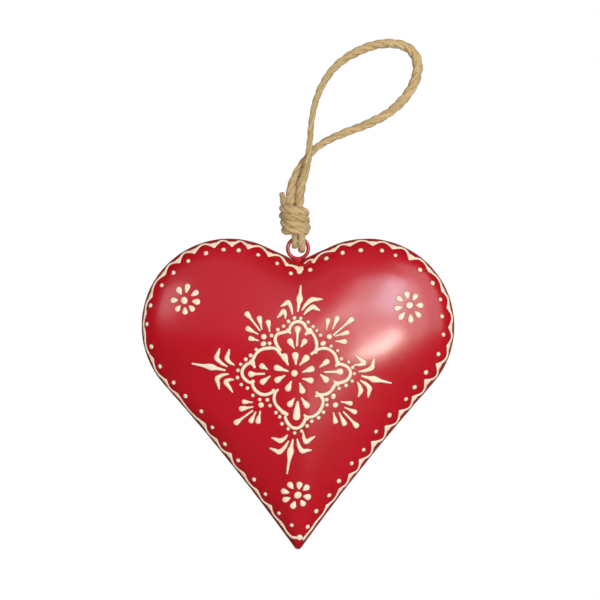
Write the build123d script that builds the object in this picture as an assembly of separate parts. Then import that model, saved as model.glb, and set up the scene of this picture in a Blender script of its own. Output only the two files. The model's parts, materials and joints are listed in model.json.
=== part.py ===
"""Painted tin heart on a jute loop.

Two pressed tin half shells, puffed like a cushion, meet at a soldered seam that runs round the heart.
A wire eye stands in the notch with its shank between the shells, and a solder collar holds it.
A jute rope goes round the top of the eye, is whipped into a knot above it, and rises into the loop
that the ornament hangs by. The rope is modelled with flat sides, and the raised paint is left out.

Frame: +Z up, the painted front faces -Y, and the origin is where a nail or hook carries the loop:
the highest point of the loop's inner side. The pieces are first made round the swing axis, which is
the centre of the eye's wire at its top, and all are moved to the hang point as they are written.
Lengths are in millimetres and angles in degrees.
"""

import os
from math import cos, pi, radians, sin, sqrt, tan

from build123d import *

# Heart outline, seen from the front
heart_width = 124.0  # over the lobes, without the seam bead
lobe_radius = 34.4
notch_slope = 25.0  # fall of each flank into the notch
side_lean = 41.5  # lean from upright where a side leaves its lobe
tip_lean = 35.7  # lean from upright where a side reaches the tip
tip_drop = 89.6  # from the lobe centres down to where the sides would meet
tip_radius = 1.2
side_hollow = 1.1  # how far each side bows inward of straight

# Half shells
shell_depth = 12.0  # each half, from the seam to the crown
sheet_thickness = 0.5
crown_drop = 10.0  # crown below the lobe centres
tip_ridge_radius = 25.0  # rounding of the ridge above the tip, full at the crown
contour_count = 9  # the dome's profile is a quarter ellipse, in flat bands between even angles
contour_last = 84.0

# Seam bead of solder round the rim
bead_proud = 0.5
bead_width = 1.2

# Wire eye in the notch
eye_radius = 4.1  # to the centre of the wire
wire_diameter = 1.5
eye_stand = 1.05  # between the eye and the notch
shank_depth = 5.0  # shank below the notch, inside the heart
shank_clearance = 0.05
collar_foot_radius = 2.6
collar_top_radius = 1.5
collar_sink = 1.0  # foot of the collar below the notch
collar_rise = 0.9  # top of the collar above the eye's lowest point

# Jute rope
rope_sides = 8
rope_diameter = 3.2
swing_gap = 0.35  # between the eye and the knot above it
knot_shift = 1.3  # how far the knot's axis lies to the left of the eye's middle
wrap_diameter = 2.7  # the rope pulled tight in the whipping
wrap_radius = 4.85  # to the centre of the wrapped rope
wrap_pitch = 3.15
wrap_turns = 3
wrap_start = 180.0  # angle round the knot, the left side, where the tail stands
core_clearance = 0.05
bight_diameter = 2.5
bight_spacing = 2.7  # between the two turns round the eye
bight_clearance = 0.6  # round the wire, which is curved where the rope grips it
bight_slack_left = 0.5  # how far a turn hangs below a snug one
bight_slack_right = 1.8
tail_diameter = 2.3
tail_length = 5.4
tail_lean = 6.0
tail_sink = 0.9  # foot of the tail pressed into the top turn

# Derived places, from the swing axis
wire_radius = wire_diameter / 2
lobe_x = heart_width / 2 - lobe_radius
notch_z = -(2 * eye_radius + wire_radius + eye_stand)
knot_bottom = wire_radius + swing_gap
knot_top = knot_bottom + wrap_turns * wrap_pitch + wrap_diameter
wrap_bore = wrap_radius - wrap_diameter / 2

# The loop's route from the knot's top and back to it: x and y from the swing axis, z above the knot
leg_x = 1.85  # of each leg from the knot's axis
arc_share = 0.45  # of the shorter run, taken by the arc at a corner
route = [
    (-leg_x - knot_shift, 0, 0),
    (-leg_x - knot_shift, 0, 6.4),
    (0.2, 2.2, 14.6),
    (6.6, 2.0, 23.2),
    (16.6, 0.7, 28.4),
    (28.0, 0, 32.2),
    (38.5, 0, 38.0),
    (46.2, 0, 47.0),
    (48.7, 0, 56.6),
    (44.5, 0, 63.6),
    (35.0, 0, 65.2),
    (24.5, 0, 62.2),
    (14.8, 0, 56.0),
    (8.2, 0, 46.1),
    (5.4, -0.2, 35.0),
    (4.7, -1.5, 24.6),
    (3.8, -2.2, 15.4),
    (leg_x - knot_shift, 0, 6.6),
    (leg_x - knot_shift, 0, 0),
]
hang_x = 36.0  # highest place of the loop's inner side, from the swing axis
hang_rise = 63.2  # the same, above the knot's top


def lobe_z(slope):
    """Height of the lobe centres when the flanks fall into the notch at this slope."""
    run = lobe_x - lobe_radius * sin(radians(slope))
    return notch_z - lobe_radius * cos(radians(slope)) + run * tan(radians(slope))


def outline(share=1.0, inset=0.0):
    """Corner points of a heart contour: the right half, from the notch to the foot of the heart.

    A contour is the outline shrunk by share about the crown, with a shallower notch and a rounder
    tip as it shrinks, and then moved inward by inset.
    """
    crown_z = lobe_z(notch_slope) - crown_drop
    slope = radians(notch_slope * share**2)
    side, tip = radians(side_lean), radians(tip_lean)
    radius = lobe_radius * share - inset
    centre = Vector(lobe_x * share, crown_z + crown_drop * share)
    tip_round = share * (tip_radius + tip_ridge_radius * (1 - share))
    tip_centre = Vector(0, crown_z + (crown_drop - tip_drop) * share + tip_round / sin(tip))
    flank_end = centre + Vector(-sin(slope), cos(slope)) * radius
    notch = Vector(0, flank_end.Y - flank_end.X * tan(slope))
    lobe_mid = centre + Vector(cos(radians(side_lean / 2)), sin(radians(side_lean / 2))) * radius
    lobe_end = centre + Vector(cos(side), -sin(side)) * radius
    side_end = tip_centre + Vector(cos(tip), -sin(tip)) * (tip_round - inset)
    chord = lobe_end - side_end
    inward = Vector(-chord.Y, chord.X).normalized()
    side_mid = (lobe_end + side_end) / 2 + inward * side_hollow * share
    foot = tip_centre - Vector(0, tip_round - inset)
    return notch, flank_end, lobe_mid, lobe_end, side_mid, side_end, foot


def heart_face(share=1.0, inset=0.0, height=0.0):
    """A flat heart at this height in front of the seam."""
    notch, flank_end, lobe_mid, lobe_end, side_mid, side_end, foot = outline(share, inset)

    def left(point):
        return Vector(-point.X, point.Y)

    edges = [
        Edge.make_line(notch, flank_end),
        Edge.make_three_point_arc(flank_end, lobe_mid, lobe_end),
        Edge.make_three_point_arc(lobe_end, side_mid, side_end),
        Edge.make_three_point_arc(side_end, foot, left(side_end)),
        Edge.make_three_point_arc(left(side_end), left(side_mid), left(lobe_end)),
        Edge.make_three_point_arc(left(lobe_end), left(lobe_mid), left(flank_end)),
        Edge.make_line(left(flank_end), notch),
    ]
    plane = Plane(origin=(0, -height, 0), x_dir=(1, 0, 0), z_dir=(0, -1, 0))
    return plane * Face(Wire(edges))


def dome(inset=0.0):
    """The space under one half shell, or inside it when inset is the sheet's thickness."""
    depth = shell_depth - inset
    contours = []
    for step in range(contour_count):
        angle = radians(contour_last * step / (contour_count - 1))
        contours.append(heart_face(cos(angle), inset * cos(angle), depth * sin(angle)).outer_wire())
    return Solid.make_loft(contours, ruled=True)


def upright(radius, bottom, top):
    """A round bar along Z between two heights."""
    return Pos(0, 0, (bottom + top) / 2) * Cylinder(radius, top - bottom)


def shank_hole():
    """What the shank takes out of the shells and the bead."""
    return upright(wire_radius + shank_clearance, notch_z - shank_depth, notch_z + eye_stand)


def half_shell():
    """One pressed half, open at the seam, with half the hole for the eye's shank."""
    return dome() - dome(sheet_thickness) - shank_hole()


def eye():
    """The wire eye with its shank."""
    ring = Pos(0, 0, -eye_radius) * Rot(90, 0, 0) * Torus(eye_radius, wire_radius)
    return ring + upright(wire_radius, notch_z - shank_depth, -2 * eye_radius)


def seam():
    """The bead of solder round the rim, cut away for the shank."""
    ring = heart_face(inset=-bead_proud, height=bead_width / 2) - heart_face(height=bead_width / 2)
    return extrude(ring, bead_width, dir=(0, 1, 0)) - shank_hole()


def collar():
    """The cone of solder that sits on the bead in the notch and grips the foot of the eye."""
    low, high = notch_z - collar_sink, -(2 * eye_radius + wire_radius) + collar_rise
    cone = Pos(0, 0, (low + high) / 2) * Cone(collar_foot_radius, collar_top_radius, high - low)
    seat = heart_face(inset=-bead_proud, height=collar_foot_radius)
    return cone - extrude(seat, 2 * collar_foot_radius, dir=(0, 1, 0)) - eye()


def rope(diameter, start, path):
    """A rope of flat sides, as far over its corners as its diameter, swept from a plane."""
    return sweep(start * RegularPolygon(diameter / 2, rope_sides), path=path)


def biarcs(points, tangents):
    """Arcs that pass through the points in their directions, two between each pair."""
    edges = []
    for start, end, leave, arrive in zip(points, points[1:], tangents, tangents[1:]):
        across, both = end - start, leave + arrive
        bend = 2 - 2 * leave.dot(arrive)
        reach = (sqrt(across.dot(both) ** 2 + bend * across.dot(across)) - across.dot(both)) / bend
        middle = (start + leave * reach + end - arrive * reach) / 2
        turned = (end - arrive * reach) - (start + leave * reach)
        edges.append(Edge.make_tangent_arc(start, leave, middle))
        edges.append(Edge.make_tangent_arc(middle, turned, end))
    return edges


def wrap():
    """The whipping: one rope wound round the two legs, with its least gap to itself printed."""
    climb = wrap_pitch / (2 * pi)
    low = Vector(-knot_shift, 0, knot_bottom + wrap_diameter / 2)
    points, tangents = [], []
    for quarter in range(4 * wrap_turns + 1):
        run = quarter * pi / 2
        angle = radians(wrap_start) - run
        points.append(low + Vector(wrap_radius * cos(angle), wrap_radius * sin(angle), climb * run))
        around = Vector(wrap_radius * sin(angle), -wrap_radius * cos(angle), climb)
        tangents.append(around.normalized())
    path = Wire(biarcs(points, tangents))
    lead = sqrt(1 - tangents[0].Z ** 2)
    print("least gap between turns of the knot", round(wrap_pitch * lead - wrap_diameter, 2))
    return rope(wrap_diameter, Plane(points[0], z_dir=tangents[0]), path)


def core():
    """The two legs pressed together inside the knot."""
    return Pos(-knot_shift, 0, 0) * upright(wrap_bore - core_clearance, knot_bottom, knot_top)


def bight():
    """Two slack turns of the rope round the top of the eye, below the knot."""
    bend = wire_radius + bight_clearance + bight_diameter / 2
    turns = []
    for x, slack in ((-bight_spacing / 2, bight_slack_left), (bight_spacing / 2, bight_slack_right)):
        down = Edge.make_line((x, -bend, knot_bottom), (x, -bend, -slack))
        under = Edge.make_three_point_arc((x, -bend, -slack), (x, 0, -bend - slack), (x, bend, -slack))
        up = Edge.make_line((x, bend, -slack), (x, bend, knot_bottom))
        turns.append(rope(bight_diameter, Plane(down @ 0, z_dir=down % 0), Wire([down, under, up])))
    return turns


def tail():
    """The rope's cut end, standing at the left of the knot's top."""
    foot = Pos(-knot_shift - wrap_radius, 0, knot_top - tail_sink) * Rot(0, -tail_lean, 0)
    full_length = tail_length + tail_sink
    return foot * Pos(0, 0, full_length / 2) * Cylinder(tail_diameter / 2, full_length)


def loop():
    """The loop from one leg to the other, as straight runs joined by arcs."""
    points = [Vector(x, y, z + knot_top) for x, y, z in route]
    runs = [after - before for before, after in zip(points, points[1:])]
    radii = []
    for before, after in zip(runs, runs[1:]):
        turn = radians(before.get_angle(after))
        radii.append(arc_share * min(before.length, after.length) / tan(turn / 2))
    print("loop radii", [round(radius, 1) for radius in radii])
    path = FilletPolyline(*points, radius=radii)
    tube = rope(rope_diameter, Plane(points[0], z_dir=runs[0]), path)
    full = path.length * RegularPolygon(rope_diameter / 2, rope_sides).area
    print("loop length", round(path.length, 1), "volume share", round(tube.volume / full, 4))
    steps = 400
    samples = [path.position_at(step / steps) for step in range(steps + 1)]
    apart = steps // 20
    gaps = [(a - b).length for i, a in enumerate(samples) for b in samples[i + apart :]]
    print("least gap of the loop to itself", round(min(gaps) - rope_diameter, 2))
    top = max(samples, key=lambda point: point.Z)
    print("loop top", round(top.X, 2), round(top.Z - knot_top - rope_diameter / 2, 2))
    return tube


def write(name, *solids):
    """Moves the solids to the hang point and writes them as one sub-part."""
    to_hang_point = Pos(-hang_x, 0, -(knot_top + hang_rise))
    placed = [to_hang_point * solid for solid in solids]
    export_step(placed[0] if len(placed) == 1 else Compound(children=placed), f"parts/{name}.step")


os.makedirs("parts", exist_ok=True)
front = half_shell()
write("front_shell", front)
write("back_shell", mirror(front, Plane.XZ))
write("seam_bead", seam())
write("wire_eye", eye())
write("eye_collar", collar())
write("rope_loop", loop())
write("knot_wrap", wrap())
write("knot_core", core())
write("rope_bight", *bight())
write("rope_tail", tail())
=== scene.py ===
"""Finishes of a painted tin heart on a jute loop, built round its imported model.

The heart is two puffed tin halves in satin red enamel with a bead of solder between them. Cream paint
is trailed on its front in raised lines, dots, drops and leaves. A wire eye stands in the notch, and a
jute rope of three twisted strands goes round it, is whipped into a knot and rises into the hanging loop.

Lengths are in metres, unless a name ends in _MM. Places on the painted front are pixels of the
photograph, in lists whose names end in _PX, and each is carried along the camera's ray to the tin.
"""

import json
from math import cos, pi, radians, sin, sqrt, tan

import bpy
import numpy as np
from mathutils import Matrix, Vector, noise
from mathutils.bvhtree import BVHTree


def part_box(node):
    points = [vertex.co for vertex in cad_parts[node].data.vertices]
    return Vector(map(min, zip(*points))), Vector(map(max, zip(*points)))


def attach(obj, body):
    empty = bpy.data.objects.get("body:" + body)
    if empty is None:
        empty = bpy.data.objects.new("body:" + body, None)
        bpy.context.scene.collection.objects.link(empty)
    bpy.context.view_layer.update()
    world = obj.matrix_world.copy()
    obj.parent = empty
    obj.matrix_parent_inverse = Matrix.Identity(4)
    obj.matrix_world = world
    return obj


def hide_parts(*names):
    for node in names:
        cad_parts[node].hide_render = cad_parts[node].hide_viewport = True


bl_info = {
    "name": "Painted Tin Heart",
    "version": (1, 0, 0),
    "blender": (4, 5, 0),
    "location": "View3D > Sidebar > Tin Heart",
    "description": "Adds the enamel, the raised paint, the jute rope and the stage of a tin heart ornament",
    "category": "Add Mesh",
}

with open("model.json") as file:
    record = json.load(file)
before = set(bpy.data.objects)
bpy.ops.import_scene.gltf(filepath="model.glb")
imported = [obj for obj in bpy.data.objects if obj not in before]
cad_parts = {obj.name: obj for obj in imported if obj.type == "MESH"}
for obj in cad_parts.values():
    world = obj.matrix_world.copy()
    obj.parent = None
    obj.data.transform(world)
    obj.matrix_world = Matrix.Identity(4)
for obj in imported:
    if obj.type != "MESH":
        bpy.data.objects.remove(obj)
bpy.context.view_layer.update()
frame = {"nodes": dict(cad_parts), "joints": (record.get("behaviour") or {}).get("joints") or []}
front_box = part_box("front_shell")

MM = 0.001
SWING = Vector(frame["joints"][0]["pos_m"])  # centre of the eye's wire at its top
HEART, ROPE = "heart", "rope"

# The photograph: its side in pixels, the pixel of the swing centre, and the size of a pixel at the rim
PHOTO_SIDE = 600
SWING_PX = (298.0, 238.25)
PIXEL = 0.4 * MM


# Places read from the photograph


# Inward tips of the scalloped border, down each side from the notch
LEFT_CUSPS_PX = [
    (286.1, 265.2), (268.8, 256.0), (248.2, 248.4), (231.9, 246.0), (214.3, 247.1), (194.5, 252.8),
    (179.3, 262.3), (164.7, 274.5), (151.7, 296.7), (145.7, 314.6), (145.2, 332.5), (153.0, 359.0),
    (166.3, 380.2), (177.2, 393.7), (205.1, 424.1), (216.6, 439.4), (230.7, 454.0), (244.5, 473.9),
    (257.2, 490.2), (271.0, 506.0), (281.7, 522.9),
]
RIGHT_CUSPS_PX = [
    (313.6, 262.5), (334.2, 251.1), (349.9, 245.7), (372.6, 245.0), (392.7, 248.4), (409.5, 259.3),
    (429.0, 271.2), (442.0, 290.7), (447.4, 307.5), (449.0, 327.6), (447.4, 345.5), (436.6, 364.4),
    (425.2, 380.2), (412.8, 397.0), (399.6, 411.0), (385.6, 426.6), (372.0, 442.2), (359.8, 460.1),
    (349.1, 474.9), (339.4, 489.2), (326.6, 505.5), (315.4, 522.3), (305.7, 535.6),
]
NOTCH_LINE_PX = [(286.1, 265.2), (289.6, 265.3), (293.2, 266.1), (296.9, 267.9), (299.6, 269.5)]
NOTCH_BLOB_PX = [(300.0, 269.6), (299.5, 271.4)]
NOTCH_WISP_PX = [(304.6, 263.4), (307.4, 261.2), (310.2, 259.7), (312.8, 259.9)]
NOTCH_REACH_PX = 60.0  # to each side of the notch the border line keeps further from the rim
CUSP_REACH_PX = 4.5  # to each side of a cusp's tip its filled back runs along the rim
TIP_DOT_PX = (299.6, 537.4)
BORDER_DOTS_PX = [
    (290.8, 273.4), (277.1, 263.4), (258.1, 254.9), (238.6, 250.4), (223.5, 249.7), (205.9, 253.3),
    (188.2, 261.1), (173.4, 272.8), (161.8, 285.3), (150.6, 305.6), (147.0, 324.1), (151.4, 346.6),
    (160.0, 366.4), (173.7, 382.5), (185.5, 396.1), (201.3, 411.3), (212.4, 427.3), (224.9, 444.0),
    (238.2, 460.4), (254.0, 479.5), (265.4, 494.1), (279.0, 513.2), (291.7, 525.1),
    (310.1, 269.9), (326.3, 258.5), (342.5, 252.8), (360.7, 250.3), (381.9, 250.6), (395.4, 255.5),
    (420.0, 269.9), (432.6, 283.1), (440.4, 299.4), (442.0, 316.4), (443.4, 334.6), (438.4, 354.1),
    (426.0, 372.4), (414.6, 387.2), (405.9, 399.1), (389.4, 415.2), (376.0, 431.5), (363.6, 449.7),
    (351.6, 463.3), (338.9, 481.0), (329.2, 495.3), (316.2, 511.1), (307.6, 526.7),
]

# Medallion: the four-lobed line in stretches between its inward cusps
MEDALLION_LINES_PX = [
    [(280.5, 350.3), (277.6, 346.4), (275.8, 342.7), (275.1, 338.9), (276.1, 335.6), (278.4, 333.7),
     (282.6, 332.6), (286.7, 331.5), (289.6, 329.8)],
    [(289.6, 329.8), (290.2, 326.9), (291.9, 324.0), (295.0, 322.1), (298.3, 321.5), (301.6, 322.3),
     (304.3, 324.4), (305.8, 327.3), (307.0, 329.8)],
    [(309.9, 331.1), (312.8, 334.0), (314.9, 337.7), (316.3, 341.8), (316.7, 346.0), (315.9, 350.1),
     (316.2, 352.8)],
    [(311.2, 354.1), (313.7, 352.5), (316.6, 350.3), (319.9, 348.9), (324.0, 348.2), (328.2, 349.1),
     (331.9, 351.4), (334.8, 354.7), (336.3, 358.4), (337.1, 362.2), (337.7, 364.4)],
    [(337.7, 364.4), (341.4, 364.4), (345.6, 365.9), (348.9, 368.8), (350.4, 372.9), (349.3, 377.1),
     (346.4, 380.4), (342.3, 382.3), (337.3, 382.9)],
    [(335.6, 383.5), (333.6, 387.0), (331.1, 390.8), (327.3, 393.7), (323.2, 394.7), (319.1, 394.9),
     (315.9, 396.2)],
    [(316.4, 392.6), (319.1, 394.9), (322.0, 397.8), (323.0, 401.1), (322.4, 405.3), (320.3, 409.8),
     (317.0, 414.0), (312.4, 416.6), (307.9, 417.1), (305.4, 417.3)],
    [(305.4, 417.7), (304.3, 421.4), (302.1, 425.2), (298.7, 427.7), (295.0, 428.2), (291.3, 426.8),
     (288.0, 423.5), (285.9, 419.8), (285.1, 416.9)],
    [(285.1, 413.6), (281.7, 411.1), (278.4, 407.8), (275.5, 404.0), (274.1, 399.9), (274.3, 395.7),
     (275.5, 392.0), (277.6, 389.9)],
    [(273.5, 389.9), (272.2, 392.0), (269.3, 393.7), (265.2, 394.7), (261.0, 394.1), (257.3, 392.0),
     (254.4, 389.1), (252.7, 385.4), (252.3, 382.5)],
    [(251.5, 382.5), (248.6, 382.1), (245.3, 379.6), (242.8, 376.3), (241.9, 372.5), (242.8, 368.8),
     (245.3, 365.5), (248.6, 363.4), (251.5, 363.0)],
    [(252.3, 361.8), (253.7, 358.0), (256.0, 353.9), (259.4, 350.6), (263.5, 348.9), (268.5, 348.1),
     (273.5, 348.2), (276.8, 349.7), (278.8, 352.2), (280.7, 355.0)],
]

# Filled wedges at the inward cusps: foot, tip, and the width at each in pixels
MEDALLION_WEDGES_PX = [
    ((288.0, 330.4), (290.3, 333.2), 4.2, 1.6), ((309.5, 330.8), (305.6, 334.2), 6.0, 2.2),
    ((338.0, 362.6), (336.2, 365.7), 4.4, 2.4), ((337.6, 384.0), (334.2, 381.6), 4.5, 1.8),
    ((306.9, 418.3), (304.4, 415.0), 4.2, 1.8), ((282.5, 412.0), (286.6, 414.4), 3.8, 3.6),
    ((251.2, 382.8), (253.2, 381.4), 3.6, 3.2), ((251.8, 361.6), (254.5, 367.3), 5.2, 2.0),
]
MEDALLION_DOTS_PX = [
    (294.4, 318.0), (288.4, 321.4), (283.5, 326.2), (277.8, 329.7), (271.4, 335.5), (269.5, 343.4),
    (256.1, 349.5), (250.6, 355.5), (245.7, 359.3), (240.6, 364.2), (237.9, 370.3), (237.4, 377.6),
    (241.2, 384.6), (247.4, 388.1), (252.9, 395.4), (259.6, 399.6), (267.3, 399.9), (269.9, 405.6),
    (275.9, 412.6), (279.7, 416.8), (281.9, 423.8), (288.0, 428.9), (294.6, 433.0), (301.6, 431.1),
    (307.1, 426.0), (311.7, 421.3), (318.6, 417.7), (323.4, 412.2), (326.9, 405.0), (326.6, 399.6),
    (339.0, 388.4), (346.0, 385.5), (352.1, 381.0), (354.3, 373.7), (352.6, 367.3), (348.6, 362.0),
    (341.3, 358.8), (337.7, 350.5), (331.1, 346.1), (320.5, 335.2), (316.7, 330.6), (313.1, 326.5),
    (308.1, 322.1), (300.7, 318.3),
]
MEDALLION_LARGE_DOTS_PX = [(263.4, 343.8), (333.3, 396.3), (323.1, 343.4)]

# Drops: the middle of the round end, then the point
CENTRE_DOT_PX = (294.4, 373.3)
CENTRE_PETALS_PX = [
    ((295.3, 355.2), (295.9, 364.2)), ((306.5, 357.8), (299.8, 364.8)), ((311.6, 368.9), (302.7, 372.1)),
    ((310.9, 380.5), (302.7, 378.8)), ((302.4, 390.9), (299.7, 383.3)), ((288.0, 388.4), (291.2, 381.4)),
    ((277.1, 380.1), (284.8, 375.6)), ((276.5, 367.7), (288.0, 371.2)), ((284.2, 356.5), (288.0, 364.8)),
]
BOTTOM_DROP_PX = ((296.5, 416.8), (297.6, 401.8))
LOBE_STALKS_PX = [
    ((297.6, 328.9), (296.9, 345.7)), ((340.3, 371.6), (324.7, 372.1)), ((251.0, 374.2), (264.4, 373.7)),
]
LOBE_DROPS_PX = [
    ((289.9, 341.2), (294.1, 348.2)), ((304.6, 341.2), (301.0, 346.7)), ((326.9, 361.6), (319.9, 367.0)),
    ((326.2, 379.7), (320.5, 374.6)), ((289.9, 404.3), (294.1, 398.6)), ((306.9, 405.6), (301.4, 398.0)),
    ((261.8, 366.1), (267.3, 369.3)), ((262.5, 382.0), (269.9, 376.3)),
]
SPRAY_DOTS_PX = [(263.8, 336.7), (329.2, 336.7), (261.0, 405.0), (335.4, 405.0)]
SPRAY_STALKS_PX = [
    ((247.1, 314.0), (259.8, 330.4)), ((351.4, 319.5), (333.4, 335.0)), ((236.3, 422.6), (252.5, 410.7)),
    ((356.4, 425.6), (343.5, 412.0)),
]
SPRAY_DROPS_PX = [
    ((259.3, 318.3), (261.8, 329.1)), ((268.2, 322.1), (269.5, 331.6)), ((247.8, 328.7), (258.0, 334.2)),
    ((250.4, 338.4), (258.4, 340.6)), ((337.1, 318.3), (332.6, 329.1)), ((327.9, 320.2), (326.2, 329.7)),
    ((347.3, 332.5), (335.2, 336.1)), ((344.7, 341.6), (335.8, 341.2)), ((244.0, 401.8), (252.5, 402.4)),
    ((241.4, 408.8), (252.9, 406.9)), ((251.0, 420.9), (255.7, 412.0)), ((258.0, 421.5), (260.2, 411.3)),
    ((350.5, 403.3), (340.9, 401.8)), ((354.9, 412.0), (344.7, 407.5)), ((344.4, 423.5), (339.0, 412.6)),
    ((335.4, 421.5), (333.3, 412.6)),
]

# Fronds: each spear from its point over its widest place to its foot, and leaves from foot to point
SPEARS_PX = [
    [(300.7, 285.7), (299.5, 299.1), (297.9, 311.2)],
    [(391.1, 383.1), (373.7, 379.1), (362.0, 376.1)],
    [(287.0, 473.4), (290.4, 451.4), (292.7, 439.9)],
    [(192.3, 363.6), (211.3, 367.1), (224.9, 370.2)],
]
LEAVES_PX = [
    [(292.4, 314.2), (288.0, 302.5), (281.0, 306.1)], [(285.4, 318.3), (283.5, 311.2), (277.5, 317.4)],
    [(302.0, 310.0), (311.6, 299.8), (322.0, 299.1)], [(303.9, 314.4), (312.9, 307.0), (319.6, 310.3)],
    [(354.2, 364.8), (364.0, 362.8), (355.8, 355.2)], [(358.9, 371.5), (371.6, 367.7), (374.3, 358.8)],
    [(357.5, 382.3), (360.7, 390.5), (358.5, 396.4)], [(360.4, 380.5), (369.4, 388.3), (368.1, 397.0)],
    [(287.3, 435.1), (280.2, 440.7), (272.0, 438.0)], [(288.4, 441.2), (279.2, 451.9), (270.2, 448.4)],
    [(303.2, 432.6), (306.2, 441.7), (314.6, 436.6)], [(297.2, 439.2), (302.1, 450.9), (311.1, 450.1)],
    [(227.0, 366.4), (216.7, 357.9), (219.4, 348.7)], [(233.8, 364.8), (227.0, 358.5), (229.2, 349.5)],
    [(228.3, 374.0), (217.3, 378.5), (219.1, 388.8)], [(233.5, 379.6), (226.0, 382.3), (232.5, 392.1)],
]

# Flowers: the middle, then the round ends of the petals, which point inward
FLOWERS_PX = [
    ((184.2, 300.5), [
        (187.5, 286.4), (178.8, 289.8), (173.2, 300.3), (177.4, 309.1),
        (185.1, 312.1), (192.3, 309.1), (197.2, 301.9), (196.1, 292.6),
    ]),
    ((409.5, 305.4), [
        (406.8, 294.0), (415.5, 296.1), (420.7, 305.4), (418.7, 315.1),
        (410.8, 320.2), (400.8, 317.3), (396.8, 308.3), (398.7, 298.5),
    ]),
    ((297.8, 495.1), [
        (289.9, 484.6), (299.4, 484.6), (306.7, 487.4), (308.0, 497.0),
        (303.0, 503.7), (293.0, 506.0), (285.1, 499.7), (283.5, 491.2),
    ]),
]

# The rope's route from the knot's top and back to it: x and y from the swing centre, z above the knot's top,
# and the rope's thickness
KNOT_TOP_MM = 13.25  # above the swing centre
KNOT_X_MM = -1.3  # the knot's axis lies to the left of the eye's middle
LEG_X_MM = 1.85  # each leg inside the knot, from its axis
ROPE_ROUTE_MM = [
    (-3.15, 0.0, 0.0, 3.95),
    (-3.15, 0.0, 6.4, 3.95),
    (0.2, 2.2, 14.6, 3.3),
    (6.6, 2.0, 23.2, 2.8),
    (16.6, 0.7, 28.4, 3.2),
    (28.0, 0.0, 32.2, 3.5),
    (38.5, 0.0, 38.0, 3.7),
    (46.2, 0.0, 47.0, 3.9),
    (48.7, 0.0, 56.6, 4.2),
    (44.5, 0.0, 63.6, 3.8),
    (35.0, 0.0, 65.2, 3.7),
    (24.5, 0.0, 62.2, 3.6),
    (14.8, 0.0, 56.0, 3.1),
    (8.2, 0.0, 46.1, 2.7),
    (5.4, -0.2, 35.0, 2.4),
    (4.7, -1.5, 24.6, 2.5),
    (3.8, -2.2, 15.4, 3.0),
    (0.55, 0.0, 6.6, 3.85),
    (0.55, 0.0, 0.0, 3.9),
]

# The two turns of rope in the eye: where each lies along the wire, its reach in front of the wire and behind
# it, how far it hangs below the swing centre, and its thickness
BIGHT_TURNS_MM = [(-1.3, 2.6, 3.1, 2.4), (1.45, 3.25, 4.45, 2.9)]

# The cut end, from its foot in the knot: x from the swing centre and z above the knot's top
TAIL_ROUTE_MM = [(-5.2, -2.0), (-5.8, 0.5), (-6.1, 3.0), (-6.4, 5.1)]

# The two legs inside the knot: their foot from its top, the steps up from there, and their thickness
CORE_FOOT_MM = -11.6
CORE_STEP_MM = 0.6
CORE_STEPS = 22
CORE_DIAMETER = 3.7 * MM


# Sizes that a user can't change


# Tapers of paint: shares of the way from the bulb to the point, and the width there over the bulb's radius
DROP = ((0, 2), (0.3, 1.65), (0.62, 0.85), (1, 0.44))
SLIM_DROP = ((0, 2), (0.3, 1.53), (0.62, 0.714), (1, 0.44))
STALK = ((0, 2), (0.13, 1.6), (0.28, 0.85), (0.5, 0.62), (1, 0.52))
PLUMP_DROP = ((0, 2), (0.4, 1.7), (0.75, 1.05), (1, 0.45))

# Widths along a spear from its point and along a leaf from its foot, over the width that a user sets
SPEAR_WIDTHS = (0.2, 0.35, 1.0, 0.43, 0.25)
LEAF_WIDTHS = (0.28, 0.71, 1.09, 0.73, 0.28)

# Points along each part of half a contour
FLANK_POINTS = 12
LOBE_POINTS = 48
SIDE_POINTS = 44
TIP_POINTS = 9

# A shell: its rings from the rim to the crown, how far up its dome they go, and the waves in the tin
SHELL_RINGS = 46
SHELL_LAST_TURN = radians(88.6)
LONG_WAVE = 0.021
SHORT_WAVE = 0.009
SHORT_WAVE_SHARE = 0.4

# The solder: the bead's lumps and flatness, and the collar's width over its foot at shares of its height
BEAD_SIDES = 10
BEAD_LUMP = 4 * MM
BEAD_LUMPINESS = 0.16
BEAD_FLATNESS = 0.9
COLLAR_SIDES = 28
COLLAR_SINK = 0.8 * MM
COLLAR_WAVE = 0.12 * MM
COLLAR_WIDE, COLLAR_DEEP = 1.15, 0.62  # its section, over a round one
COLLAR_PROFILE = ((1.25, 0.0), (1.0, 0.12), (0.78, 0.3), (0.62, 0.5), (0.54, 0.72), (0.5, 0.9), (0.36, 1.0))

# The border: steps of the rim's line to each step of its contour, steps to each side that give its way, and
# how much of its inset the border line gains at the notch
RIM_FINENESS = 16
RIM_REACH = 12
NOTCH_INSET = 1.6

# Finishes: the speck of painted shade in a bulb of paint, and how fine the fibres and hairs are round and
# along a strand
SHADE_SPECK_RADIUS = 0.9 * MM
FIBRES = (260.0, 5.5, 1.0)
HAIRS = (700.0, 16.0, 1.0)
FIBRES_ROUND = 1.6  # to each radian round a strand

# The stage: how far below the swing centre the lights aim and the floor lies, and how bright the room and the
# backdrop are in mirrors
AIM_DROP = 45 * MM
FLOOR_DROP = 0.34
MIRRORED_ROOM = 0.01
MIRRORED_BACKDROP = 0.005


# What a user can change


def length(name, description, default):
    return bpy.props.FloatProperty(
        name=name, description=description, default=default, unit="LENGTH", precision=5
    )


def number(name, description, default):
    return bpy.props.FloatProperty(name=name, description=description, default=default, min=0)


def angle(name, description, default):
    return bpy.props.FloatProperty(
        name=name, description=description, default=radians(default), unit="ROTATION"
    )


def colour(name, description, default):
    return bpy.props.FloatVectorProperty(
        name=name, description=description, default=default, size=3, min=0, max=1, subtype="COLOR"
    )


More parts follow.
